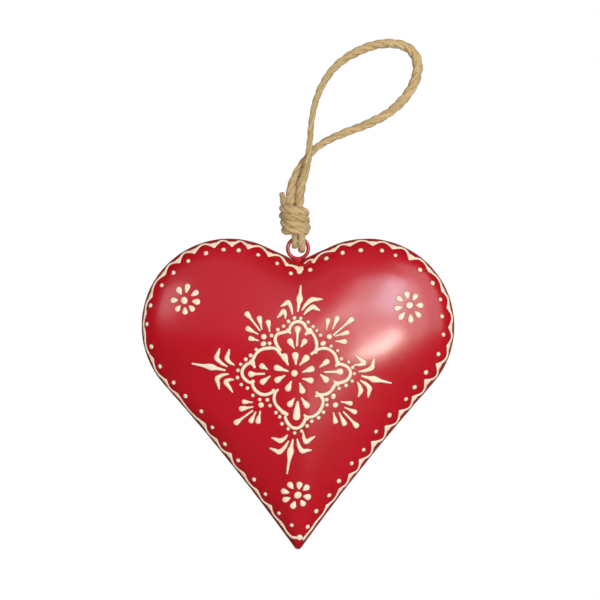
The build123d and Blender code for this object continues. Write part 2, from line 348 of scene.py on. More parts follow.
class HeartSizes(bpy.types.PropertyGroup):
    """Sizes of the two tin halves, their seam and the eye."""

    heart_width: length("Heart width", "Over the lobes", front_box[1].x - front_box[0].x)
    lobe_radius: length("Lobe radius", "Radius of the two lobes", 34.4 * MM)
    notch_drop: length("Notch drop", "Notch below the swing centre", 10.0 * MM)
    notch_slope: angle("Notch slope", "Fall of each flank into the notch", 25.0)
    side_lean: angle("Side lean", "Lean from upright where a side leaves its lobe", 41.5)
    tip_lean: angle("Tip lean", "Lean from upright where a side reaches the tip", 35.7)
    tip_drop: length("Tip drop", "From the lobe centres to where the sides would meet", 89.6 * MM)
    tip_radius: length("Tip radius", "Rounding of the tip", 1.2 * MM)
    tip_ridge_radius: length("Tip ridge radius", "Rounding of the ridge above the tip", 25.0 * MM)
    side_hollow: length("Side hollow", "How far each side bows inward of straight", 1.1 * MM)
    shell_depth: length("Shell depth", "From the seam to the crown", 12.0 * MM)
    crown_drop: length("Crown drop", "Crown below the lobe centres", 10.0 * MM)
    sheet_thickness: length("Sheet thickness", "Thickness of the tin", 0.5 * MM)
    unevenness: length("Unevenness", "Height of the soft waves that pressing left in the tin", 0.12 * MM)
    bead_radius: length("Bead radius", "Half the thickness of the solder bead round the rim", 0.62 * MM)
    collar_foot: length("Collar foot", "Radius of the solder at the notch", 2.7 * MM)


class PaintSizes(bpy.types.PropertyGroup):
    """Sizes of the raised paint."""

    line_height: length("Line height", "How far a trailed line stands up", 0.42 * MM)
    drop_height: length("Drop height", "How far drops and dots stand up", 0.55 * MM)
    border_inset: length("Border inset", "Border line from the rim between two cusps", 0.28 * MM)
    border_line: length("Border line", "Width of the border line", 1.0 * MM)
    border_cusp: length("Border cusp", "Width of the filled corner where two arches meet", 1.4 * MM)
    border_dot: length("Border dot", "Radius of the dots along the border", 0.82 * MM)
    medallion_line: length("Medallion line", "Width of the four-lobed line", 1.15 * MM)
    medallion_dot: length("Medallion dot", "Radius of the dots round the medallion", 0.67 * MM)
    petal: length("Petal", "Radius of a petal's round end", 1.2 * MM)
    bottom_drop: length("Bottom drop", "Radius of the long drop in the bottom lobe", 1.38 * MM)
    spray_drop: length("Spray drop", "Radius of a spray drop's round end", 0.95 * MM)
    spear: length("Spear", "Width of a spear at its widest", 2.5 * MM)
    leaf: length("Leaf", "Width of a leaf at its widest", 1.72 * MM)


class RopeSizes(bpy.types.PropertyGroup):
    """Sizes of the jute rope."""

    rope_diameter: length("Rope diameter", "Over the strands of the loop", 3.2 * MM)
    lay: length("Lay", "Length of one full twist of the strands", 13.0 * MM)
    wrap_diameter: length("Whipping diameter", "The rope pulled tight in the knot", 3.5 * MM)
    wrap_radius: length("Whipping radius", "To the centre of the wound rope", 4.5 * MM)
    wrap_pitch: length("Whipping pitch", "Climb of the whipping in one turn", 2.9 * MM)
    wrap_turns: bpy.props.IntProperty(
        name="Whipping turns", description="Turns of the knot", default=3, min=1
    )
    tail_diameter: length("Tail diameter", "The rope's cut end", 2.4 * MM)


class Finishes(bpy.types.PropertyGroup):
    """Colours of the enamel, the paint and the jute."""

    enamel: colour("Enamel", "Satin red of the tin", (0.5, 0.004, 0.013))
    enamel_deep: colour("Deep enamel", "Red where the coat is thicker", (0.45, 0.003, 0.009))
    seam: colour("Seam", "Enamel on the bead of solder", (0.22, 0.006, 0.01))
    bare_tin: colour("Bare tin", "Metal where the enamel has worn off the seam", (0.2, 0.15, 0.13))
    paint: colour("Paint", "Cream of the trailed paint", (0.97, 0.79, 0.6))
    # Thin paint edge where the red shows through, made darker than the enamel as painted shade round the foot
    # of the paint.
    paint_edge_and_shade: colour("Paint edge", "Thin edge, where the red shows through", (0.22, 0.015, 0.015))
    # Painted shade: the greyer spot in the middle of wide dots and round ends.
    paint_shade_speck: colour("Paint speck", "The greyer middle of dots and round ends", (0.7, 0.72, 0.42))
    # Pale fibre tone, also used as a painted highlight on fibres and hairs.
    jute_pale_and_glint: colour("Light jute", "Fibres that stand up", (0.684, 0.5, 0.257))
    jute: colour("Jute", "Body of the strands", (0.51, 0.358, 0.167))
    # Dark fibre tone, also used as painted shade between fibres.
    jute_dark_and_shade: colour("Dark jute", "Between fibres and strands", (0.228, 0.132, 0.043))


class StageSettings(bpy.types.PropertyGroup):
    """The camera and the light."""

    distance: length("Camera distance", "From the camera to the rim's plane", 0.9)
    light_distance: length("Light distance", "From the lights to the heart", 1.35)
    sensor: number("Sensor", "Width of the sensor in millimetres", 36.0)
    room: number("Room", "Light that comes from all sides", 0.2)
    key: number("Key", "Brightness of the light from above, which nothing mirrors", 1.4)
    window: number("Window", "Brightness of the broad light that the right lobe mirrors", 2.4)
    pane: number("Pane", "Brightness of the tall cool patch that shows beside the right flower", 8.5)
    far_window: number("Far window", "Brightness of the dimmer light to the right of the window", 2.0)
    low_lamp: number("Low lamp", "Brightness of the lower streak on the right lobe", 32.0)
    high_lamp: number("High lamp", "Brightness of the upper streak on the right lobe", 8.0)
    wall: number("Wall", "Brightness of the pale wall that the upper half mirrors", 0.35)
    door: number("Door", "Brightness of the patch that the left lobe mirrors", 2.1)


# Shader maths


class Value:
    """A value socket in a sum. Each operation adds its Math node to the material."""

    def __init__(self, shader, socket):
        self.shader = shader
        self.socket = socket

    def maths(self, operation, first, second):
        made = self.shader.node("ShaderNodeMath", {"operation": operation}, {0: first, 1: second})
        return Value(self.shader, made.outputs["Value"])

    def __add__(self, other):
        return self.maths("ADD", self, other)

    def __sub__(self, other):
        return self.maths("SUBTRACT", self, other)

    def __rsub__(self, other):
        return self.maths("SUBTRACT", other, self)

    def __mul__(self, other):
        return self.maths("MULTIPLY", self, other)

    def __truediv__(self, other):
        return self.maths("DIVIDE", self, other)

    __radd__ = __add__
    __rmul__ = __mul__


class Nodes:
    """A node tree, and one way to add a node to it."""

    def __init__(self, tree):
        self.tree = tree

    def node(self, kind, settings=None, sockets=None):
        """One node: its settings first, then the values or links of its sockets."""
        made = self.tree.nodes.new(kind)
        for name, value in (settings or {}).items():
            if name == "stops":
                while len(made.color_ramp.elements) < len(value):
                    made.color_ramp.elements.new(1.0)
                for element, (place, shade) in zip(made.color_ramp.elements, value):
                    element.position = place
                    element.color = (shade, shade, shade, 1)
            else:
                setattr(made, name, value)
        for name, value in (sockets or {}).items():
            self.feed(made, name, value)
        return made

    def feed(self, node, name, value):
        value = getattr(value, "socket", value)
        if isinstance(value, bpy.types.NodeSocket):
            self.tree.links.new(node.inputs[name], value)
        else:
            node.inputs[name].default_value = value


class Shader(Nodes):
    """A material's node tree with one Principled shader, and short ways to add what feeds it."""

    def __init__(self, name):
        self.material = bpy.data.materials.new(name)
        self.material.use_nodes = True
        super().__init__(self.material.node_tree)
        self.principled = self.tree.nodes["Principled BSDF"]

    def finish(self, **sockets):
        """Feeds the Principled shader's sockets, named with underscores, and returns the material."""
        for name, value in sockets.items():
            self.feed(self.principled, name.replace("_", " "), value)
        return self.material

    def place(self):
        return self.node("ShaderNodeTexCoord").outputs["Object"]

    def attribute(self, name):
        return Value(self, self.node("ShaderNodeAttribute", {"attribute_name": name}).outputs["Fac"])

    def vector_attribute(self, name):
        return self.node("ShaderNodeAttribute", {"attribute_name": name}).outputs["Vector"]

    def grain(self, size, vector, detail=2.0, rough=0.5, distortion=0.0):
        """Noise from 0 to 1 whose features are about this many metres across."""
        sockets = {"Vector": vector, "Scale": 1 / size, "Detail": detail, "Roughness": rough}
        sockets["Distortion"] = distortion
        made = self.node("ShaderNodeTexNoise", {"noise_dimensions": "3D"}, sockets)
        return Value(self, made.outputs["Fac"])

    def ramp(self, value, *stops):
        """The value through a ramp of (place, shade) stops."""
        made = self.node("ShaderNodeValToRGB", {"stops": stops}, {"Fac": value})
        return Value(self, made.outputs["Color"])

    def mix(self, factor, first, second):
        """Between two colours."""
        sockets = {0: factor, 6: opaque(first), 7: opaque(second)}
        return self.node("ShaderNodeMix", {"data_type": "RGBA"}, sockets).outputs[2]

    def stretched(self, vector, scale):
        """The vector with each part multiplied, for grain that runs along one way."""
        made = self.node("ShaderNodeVectorMath", {"operation": "MULTIPLY"}, {0: vector, 1: scale})
        return made.outputs["Vector"]

    def distance(self, first, second):
        """How far apart two places are."""
        made = self.node("ShaderNodeVectorMath", {"operation": "DISTANCE"}, {0: first, 1: second})
        return Value(self, made.outputs["Value"])

    def bump(self, height, distance, normal=None):
        sockets = {"Height": height, "Distance": distance, "Strength": 1.0}
        if normal is not None:
            sockets["Normal"] = normal
        return self.node("ShaderNodeBump", None, sockets).outputs["Normal"]


def opaque(value):
    """A plain colour with its alpha, or a socket as it is."""
    return value if isinstance(value, bpy.types.NodeSocket) else (*value[:3], 1)


# Finishes


def enamel_material(finishes):
    """Satin red enamel on pressed tin, with soft orange peel."""
    shader = Shader("satin_red_enamel")
    place = shader.place()
    cloud = shader.grain(24 * MM, place, detail=3)
    peel = shader.grain(1.6 * MM, place, detail=1)
    fine = shader.grain(0.35 * MM, place, detail=2, rough=0.6)
    thick = shader.ramp(cloud, (0.35, 0.0), (0.7, 1.0))
    normal = shader.bump(peel, 0.016 * MM)
    normal = shader.bump(fine, 0.008 * MM, normal=normal)
    return shader.finish(
        Base_Color=shader.mix(thick, finishes.enamel, finishes.enamel_deep),
        Roughness=0.2 + 0.08 * fine,
        Coat_Weight=0.4,
        Coat_Roughness=0.14,
        Normal=normal,
    )


def seam_material(finishes):
    """Dark red enamel that has worn off the bead in places."""
    shader = Shader("worn_seam_enamel")
    place = shader.place()
    wear = shader.ramp(shader.grain(7 * MM, place, detail=4, rough=0.65), (0.58, 0.0), (0.68, 1.0))
    lumps = shader.grain(1.1 * MM, place, detail=2)
    return shader.finish(
        Base_Color=shader.mix(wear, finishes.seam, finishes.bare_tin),
        Metallic=0.6 * wear,
        Roughness=0.36 + 0.15 * lumps,
        Normal=shader.bump(lumps, 0.12 * MM),
    )


def eye_material(finishes):
    """Glossy red enamel on the wire eye, thin and streaked."""
    shader = Shader("eye_enamel")
    place = shader.place()
    streak = shader.ramp(shader.grain(1.4 * MM, place, detail=3), (0.4, 0.0), (0.7, 1.0))
    return shader.finish(
        Base_Color=shader.mix(streak, finishes.enamel, finishes.enamel_deep),
        Roughness=0.2 + 0.1 * streak,
        Coat_Weight=0.6,
        Coat_Roughness=0.12,
        Normal=shader.bump(shader.grain(0.8 * MM, place), 0.05 * MM),
    )


def paint_material(finishes):
    """Cream paint whose thin edge lets the red through and is darkened as painted shade round each shape,
    with a greyer speck of painted shade in the middle of each wide bulb.
    """
    shader = Shader("trailed_cream_paint")
    place = shader.place()
    lift = shader.attribute("lift")
    # Painted shade: the lowest part of each shape, and the thin sheet round it, take the dark edge colour,
    # which is darker than the enamel.
    edge = shader.ramp(lift, (0.05, 1.0), (0.4, 0.0))
    cloud = shader.grain(3 * MM, place, detail=3)
    away = shader.distance(place, shader.vector_attribute("middle"))
    # Painted shade: a greyer spot round the middle of each wide shape.
    speck = shader.ramp(away / SHADE_SPECK_RADIUS, (0.2, 1.0), (1.0, 0.0))
    body = shader.mix(0.16 * cloud, finishes.paint, finishes.jute)
    body = shader.mix(0.4 * speck, body, finishes.paint_shade_speck)
    surface = shader.grain(0.5 * MM, place, detail=2)
    return shader.finish(
        Base_Color=shader.mix(edge, body, finishes.paint_edge_and_shade),
        Roughness=0.42 + 0.12 * surface,
        Normal=shader.bump(surface, 0.03 * MM),
    )


def jute_material(finishes):
    """Jute strands: fibres run along each strand. Darker fibre streaks are partly painted shade of the gaps
    between fibres, and pale fibres and hairs are partly painted highlights.
    """
    shader = Shader("twisted_jute")
    along = shader.vector_attribute("strand")
    place = shader.place()
    fibres = shader.grain(1.0, shader.stretched(along, FIBRES), detail=4, rough=0.65, distortion=0.3)
    hairs = shader.grain(1.0, shader.stretched(along, HAIRS), detail=3, rough=0.6)
    cloud = shader.grain(5 * MM, place, detail=3)
    # Darker fibre streaks, partly painted shade of the gaps between fibres; paler fibres and hairs, partly
    # painted highlights.
    dark = shader.ramp(fibres, (0.3, 1.0), (0.52, 0.0))
    light = shader.ramp(fibres * 0.6 + hairs * 0.4, (0.5, 0.0), (0.66, 1.0))
    body = shader.mix(cloud * 0.5, finishes.jute, finishes.jute_pale_and_glint)
    body = shader.mix(0.75 * dark, body, finishes.jute_dark_and_shade)
    body = shader.mix(0.55 * light, body, finishes.jute_pale_and_glint)
    return shader.finish(
        Base_Color=body,
        Roughness=0.78 + 0.14 * hairs,
        Specular_IOR_Level=0.25,
        Sheen_Weight=0.15,
        Normal=shader.bump(0.6 * fibres + 0.4 * hairs, 0.22 * MM),
    )


# Meshes


def new_object(name, points, faces, material):
    """A smooth mesh object at the origin, with its material."""
    mesh = bpy.data.meshes.new(name)
    mesh.from_pydata([tuple(point) for point in points], [], faces)
    mesh.update()
    mesh.polygons.foreach_set("use_smooth", [True] * len(mesh.polygons))
    mesh.materials.append(material)
    made = bpy.data.objects.new(name, mesh)
    bpy.context.scene.collection.objects.link(made)
    return made


def add_values(made, name, values):
    """Stores one number for each point, or a vector where three are given."""
    values = np.asarray(values, np.float32)
    kind, field = ("FLOAT_VECTOR", "vector") if values.ndim == 2 else ("FLOAT", "value")
    attribute = made.data.attributes.new(name, kind, "POINT")
    attribute.data.foreach_set(field, values.ravel())


def bridge(first, second, count):
    """Quads between two rings of count points that start at these numbers."""
    after = [(i + 1) % count for i in range(count)]
    return [(first + i, first + j, second + j, second + i) for i, j in enumerate(after)]


def tube(first, rings, count):
    """Faces of a tube of rings of count points, from this number on, with a face across each end."""
    faces = []
    for ring in range(rings - 1):
        faces += bridge(first + ring * count, first + (ring + 1) * count, count)
    last = first + (rings - 1) * count
    return faces + [tuple(reversed(range(first, first + count))), tuple(range(last, last + count))]


def turns_of(sides):
    """Angles evenly round a full turn."""
    return [2 * pi * k / sides for k in range(sides)]


def way_along(line):
    """How far along a line each of its points lies."""
    steps = np.linalg.norm(np.diff(np.array(line), axis=0), axis=1)
    return np.concatenate([[0], np.cumsum(steps)])


def contour(sizes, share=1.0, inset=0.0):
    """Points (x, z) of a heart contour from the swing centre, once round from the notch.

    A contour is the outline shrunk by share about the crown, with a shallower notch and a rounder tip
    as it shrinks, and then moved inward by inset.
    """
    lobe_x = sizes.heart_width / 2 - sizes.lobe_radius

    def lobe_z(slope):
        run = lobe_x - sizes.lobe_radius * sin(slope)
        return -sizes.notch_drop - sizes.lobe_radius * cos(slope) + run * tan(slope)

    crown_z = lobe_z(sizes.notch_slope) - sizes.crown_drop
    slope = sizes.notch_slope * share**2
    radius = sizes.lobe_radius * share - inset
    centre = np.array((lobe_x * share, crown_z + sizes.crown_drop * share))
    tip_round = share * (sizes.tip_radius + sizes.tip_ridge_radius * (1 - share))
    tip_z = crown_z + (sizes.crown_drop - sizes.tip_drop) * share + tip_round / sin(sizes.tip_lean)
    tip_centre = np.array((0, tip_z))

    def arc(middle, arc_radius, start, end, steps):
        turns = np.linspace(start, end, steps)
        return middle + arc_radius * np.stack([np.cos(turns), np.sin(turns)], axis=1)

    lobe = arc(centre, radius, pi / 2 + slope, -sizes.side_lean, LOBE_POINTS)
    tip = arc(tip_centre, tip_round - inset, -sizes.tip_lean, -pi / 2, TIP_POINTS)
    notch = np.array((0, lobe[0][1] - lobe[0][0] * tan(slope)))
    flank = notch + (lobe[0] - notch) * np.linspace(0, 1, FLANK_POINTS)[:, None]
    steps = np.linspace(0, 1, SIDE_POINTS)[:, None]
    chord = tip[0] - lobe[-1]
    inward = np.array((chord[1], -chord[0])) / np.linalg.norm(chord)
    side = lobe[-1] + chord * steps + inward * sizes.side_hollow * share * 4 * steps * (1 - steps)
    half = np.concatenate([flank[:-1], lobe[:-1], side[:-1], tip])
    return np.concatenate([half, half[-2:0:-1] * (-1, 1)])


def waves(point, height):
    """Soft unevenness of pressed tin at a point, as a distance."""
    return height * (noise.noise(point / LONG_WAVE) + SHORT_WAVE_SHARE * noise.noise(point / SHORT_WAVE))


def shell_points(sizes, facing):
    """Rings of one half from the rim to the crown on the outside, and back to the rim on the inside."""
    points = []
    rings = range(SHELL_RINGS)
    for inset, order in ((0.0, rings), (sizes.sheet_thickness, reversed(rings))):
        for ring in order:
            turn = SHELL_LAST_TURN * ring / (SHELL_RINGS - 1)
            height = (sizes.shell_depth - inset) * sin(turn)
            for x, z in contour(sizes, cos(turn), inset * cos(turn)):
                bulge = height + waves(Vector((x, facing * height, z)), sizes.unevenness) * sin(turn)
                points.append((SWING.x + x, facing * bulge, SWING.z + z))
    return points


def shell(name, sizes, facing, material):
    """One tin half as a closed mesh, thin walled and open at the seam."""
    rings = SHELL_RINGS
    points = shell_points(sizes, facing)
    count = len(points) // (2 * rings)
    faces = []
    for ring in range(2 * rings - 1):
        if ring == rings - 1:
            faces.append(tuple(range(ring * count, (ring + 1) * count)))
            faces.append(tuple(reversed(range((ring + 1) * count, (ring + 2) * count))))
        else:
            faces += bridge(ring * count, (ring + 1) * count, count)
    faces += bridge((2 * rings - 1) * count, 0, count)
    if facing < 0:
        faces = [tuple(reversed(face)) for face in faces]
    return new_object(name, points, faces, material)


def frames(line):
    """For each point of a line: the point, the way ahead, and a way across that turns the least."""
    line = [Vector(point) for point in line]
    made, across = [], None
    for i, point in enumerate(line):
        along = (line[min(i + 1, len(line) - 1)] - line[max(i - 1, 0)]).normalized()
        if across is None:
            across = along.orthogonal().normalized()
        across = (across - along * across.dot(along)).normalized()
        made.append((point, along, across))
    return made


# Paint, draped on the tin


class Drape:
    """Carries pixels of the photograph along the camera's rays to the front of the heart."""

    def __init__(self, tin, distance):
        points = [vertex.co for vertex in tin.data.vertices]
        self.tree = BVHTree.FromPolygons(points, [face.vertices[:] for face in tin.data.polygons])
        self.eye = camera_place(distance)

    def at(self, x_px, y_px):
        """The point of the tin behind a pixel, and the normal there."""
        target = on_rim_plane(x_px, y_px)
        place, normal, _, _ = self.tree.ray_cast(self.eye, (target - self.eye).normalized())
        if place is None:
            place, normal, _, _ = self.tree.find_nearest(target)
        return place, normal


def on_rim_plane(x_px, y_px):
    """The point of the rim's plane that shows at a pixel."""
    return Vector((SWING.x + (x_px - SWING_PX[0]) * PIXEL, 0, SWING.z - (y_px - SWING_PX[1]) * PIXEL))


def camera_place(distance):
    middle = on_rim_plane(PHOTO_SIDE / 2, PHOTO_SIDE / 2)
    return Vector((middle.x, -distance, middle.z))


class PaintMesh:
    """Gathers strokes and dots of raised paint in one mesh."""

    # The thin dark edge is partly the paint's own thin edge and partly painted shade: a dark sheet on the
    # enamel round each shape.
    edge_and_shade_film = 0.22 * MM  # the thin dark edge that runs out on the enamel round each shape
    edge_and_shade_film_height = 0.02 * MM
    sunk = 0.15 * MM  # how far each shape reaches into the tin
    # The speck is a spot of painted shade.
    shade_speck_width = 1.5 * MM  # shapes wider than this have a speck in the middle
    no_shade_speck = Vector((0, 0, 1))  # too far off to show one
    step_px = 0.6  # along a stroke
    across = 8  # faces over a stroke
    caps = np.array([1.0, 0.9, 0.7, 0.45, 0.2])  # rings of a round end, in half widths beyond the line
    dot_sides = 18
    dot_rings = 6

    def __init__(self, drape, seed=1):
        self.drape = drape
        self.points = []
        self.faces = []
        self.lifts = []
        self.middles = []
        self.random = np.random.default_rng(seed)

    def add(self, point, lift, middle):
        """One point, how high up the paint it is from 0 to 1, and the middle of its shape."""
        self.points.append(point)
        self.lifts.append(lift)
        self.middles.append(middle)

    def curve(self, corners, widths):
        """A smooth line through the corners in short steps, with a width at each point."""
        corners = np.array(corners, float)
        widths = np.array(widths, float)
        padded = np.concatenate([[2 * corners[0] - corners[1]], corners, [2 * corners[-1] - corners[-2]]])
        line, thick = [], []
        for i in range(len(corners) - 1):
            before, start, end, after = padded[i : i + 4]
            steps = max(2, int(np.linalg.norm(end - start) / self.step_px))
            for t in np.arange(steps) / steps:
                square, cube = t * t, t * t * t
                line.append(0.5 * (
                    2 * start + (end - before) * t
                    + (2 * before - 5 * start + 4 * end - after) * square
                    + (3 * start - before - 3 * end + after) * cube
                ))
                ease = t * t * (3 - 2 * t)
                thick.append(widths[i] * (1 - ease) + widths[i + 1] * ease)
        return np.array(line + [corners[-1]]), np.array(thick + [widths[-1]])

    def stroke(self, corners, widths, height):
        """A raised line through pixels, with a width in metres at each, rounded at both ends."""
        line, thick = self.curve(corners, widths)
        head, foot = thick[0] / 2, thick[-1] / 2
        caps = self.caps
        start_way = line[0] - line[1]
        end_way = line[-1] - line[-2]
        start_way /= np.linalg.norm(start_way)
        end_way /= np.linalg.norm(end_way)
        places = [line[0] + start_way * head / PIXEL * c for c in caps]
        places += list(line) + [line[-1] + end_way * foot / PIXEL * c for c in caps[::-1]]
        rounds = np.sqrt(np.maximum(0.02, 1 - caps**2))
        halves = list(head * rounds) + list(thick / 2) + list(foot * rounds[::-1])
        rises = list(rounds) + [1.0] * len(line) + list(rounds[::-1])
        full = thick.max()
        draped = [self.drape.at(*place) for place in places]
        middle = self.no_shade_speck
        if full > self.shade_speck_width:
            middle = draped[len(caps) + int(np.argmax(thick))][0]
        first = len(self.points)
        for i, (place, normal) in enumerate(draped):
            ahead = draped[min(i + 1, len(draped) - 1)][0] - draped[max(i - 1, 0)][0]
            side = normal.cross(ahead).normalized()
            rise = height * rises[i] * (0.45 + 0.55 * min(1.0, 2 * halves[i] / full))
            for k in range(self.across + 1):
                turn = pi * k / self.across
                up = sin(turn) ** 0.8
                reach = halves[i] + (self.edge_and_shade_film if k in (0, self.across) else 0)
                raised = max(rise * up, self.edge_and_shade_film_height)
                lift = up * min(1.0, rises[i] * 1.3)
                self.add(place + side * reach * cos(turn) + normal * raised, lift, middle)
            for share in (-0.8, 0.8):
                self.add(place + side * halves[i] * share - normal * self.sunk, 0.0, middle)
        self.faces += tube(first, len(draped), self.across + 3)

    def taper(self, bulb, point, shape, radius, height):
        """A stroke from a bulb to a point, with the widths of its shape."""
        bulb, point = np.array(bulb, float), np.array(point, float)
        corners = [bulb + (point - bulb) * share for share, _ in shape]
        self.stroke(corners, [wide * radius for _, wide in shape], height)

    def tapers(self, places, shape, radius, height, spread=None):
        """A taper at each pair of places. Where a spread is given, each one's size is drawn from it."""
        for bulb, point in places:
            size = self.random.uniform(*spread) if spread else 1.0
            self.taper(bulb, point, shape, radius * size, height)

    def dot(self, place_px, radius, height, stretch=1.0):
        """A dot with a domed top."""
        place, normal = self.drape.at(*place_px)
        across = normal.cross(Vector((0, 0, 1))).normalized()
        other = normal.cross(across)
        turn0 = self.random.uniform(0, 2 * pi)
        middle = place if 2 * radius > self.shade_speck_width else self.no_shade_speck
        first, sides, rings = len(self.points), self.dot_sides, self.dot_rings
        for ring in range(-1, rings):
            rise = pi / 2 * max(ring, 0) / rings
            out = radius * cos(rise) + (self.edge_and_shade_film if ring < 1 else 0)
            up = max(height * sin(rise), self.edge_and_shade_film_height) if ring >= 0 else -self.sunk
            for turn in turns_of(sides):
                wide = out * (1 + (stretch - 1) * cos(turn - turn0) ** 2)
                point = place + across * wide * cos(turn) + other * wide * sin(turn) + normal * up
                self.add(point, sin(rise), middle)
        top = len(self.points)
        self.add(place + normal * height, 1.0, middle)
        for ring in range(rings):
            quads = bridge(first + ring * sides, first + (ring + 1) * sides, sides)
            self.faces += [quad[::-1] for quad in quads]
        self.faces.append(tuple(range(first, first + sides)))
        crown = top - sides
        self.faces += [(crown + (k + 1) % sides, crown + k, top) for k in range(sides)]

    def finish(self, name, material):
        made = new_object(name, self.points, self.faces, material)
        add_values(made, "lift", self.lifts)
        add_values(made, "middle", self.middles)
        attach(made, HEART)
        return made


# Operators


def material_of(name, maker):
    """The material of that name, made when it is first asked for."""
    return bpy.data.materials.get(name) or maker(bpy.context.scene.tin_heart_finishes)


class HEART_OT_shells(bpy.types.Operator):
    """Adds the two tin halves in satin red enamel"""

    bl_idname = "heart.shells"
    bl_label = "Tin Halves"

    def execute(self, context):
        sizes = context.scene.tin_heart_sizes
        material = material_of("satin_red_enamel", enamel_material)
        for node, facing in (("front_shell", -1), ("back_shell", 1)):
            made = shell(node.replace("shell", "tin"), sizes, facing, material)
            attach(made, HEART)
            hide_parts(node)
        return {"FINISHED"}


class HEART_OT_seam(bpy.types.Operator):
    """Adds the bead of solder round the rim, and the collar that holds the eye"""

    bl_idname = "heart.seam"
    bl_label = "Seam And Eye"

    def execute(self, context):
        sizes = context.scene.tin_heart_sizes
        material = material_of("worn_seam_enamel", seam_material)
        rim = contour(sizes)
        line = [Vector((SWING.x + x, 0, SWING.z + z)) for x, z in rim]
        made = self.bead(line, sizes.bead_radius, material)
        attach(made, HEART)
        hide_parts("seam_bead")
        collar = self.collar(sizes, material_of("eye_enamel", eye_material))
        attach(collar, HEART)
        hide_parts("eye_collar")
        frame["nodes"]["wire_eye"].data.materials.clear()
        frame["nodes"]["wire_eye"].data.materials.append(material_of("eye_enamel", eye_material))
        return {"FINISHED"}

    def bead(self, line, radius, material):
        """A closed ring along the rim, a little lumpy."""
        sides, count, deep = BEAD_SIDES, len(line), Vector((0, 1, 0))
        points, faces = [], []
        for i, place in enumerate(line):
            along = (line[(i + 1) % count] - line[i - 1]).normalized()
            out = along.cross(deep).normalized()
            thick = radius * (1 + BEAD_LUMPINESS * noise.noise(place / BEAD_LUMP))
            for turn in turns_of(sides):
                points.append(place - out * thick * cos(turn) * BEAD_FLATNESS + deep * thick * sin(turn))
        for i in range(count):
            faces += bridge(i * sides, (i + 1) % count * sides, sides)
        return new_object("solder_bead", points, faces, material)

    def collar(self, sizes, material):
        """Solder drawn up from the notch to the foot of the eye."""
        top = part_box("eye_collar")[1].z
        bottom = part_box("eye_collar")[0].z - COLLAR_SINK
        points = []
        for wide, up in COLLAR_PROFILE:
            radius = sizes.collar_foot * wide
            for turn in turns_of(COLLAR_SIDES):
                points.append((
                    SWING.x + radius * COLLAR_WIDE * cos(turn),
                    radius * COLLAR_DEEP * sin(turn),
                    bottom + (top - bottom) * up + COLLAR_WAVE * sin(3 * turn) * (1 - up),
                ))
        faces = tube(0, len(COLLAR_PROFILE), COLLAR_SIDES)
        return new_object("solder_collar", points, faces, material)


def paint_start(context):
    """A drape on the front tin, and the paint's sizes and material."""
    tin = bpy.data.objects["front_tin"]
    drape = Drape(tin, context.scene.tin_heart_stage.distance)
    return drape, context.scene.tin_heart_paint, material_of("trailed_cream_paint", paint_material)


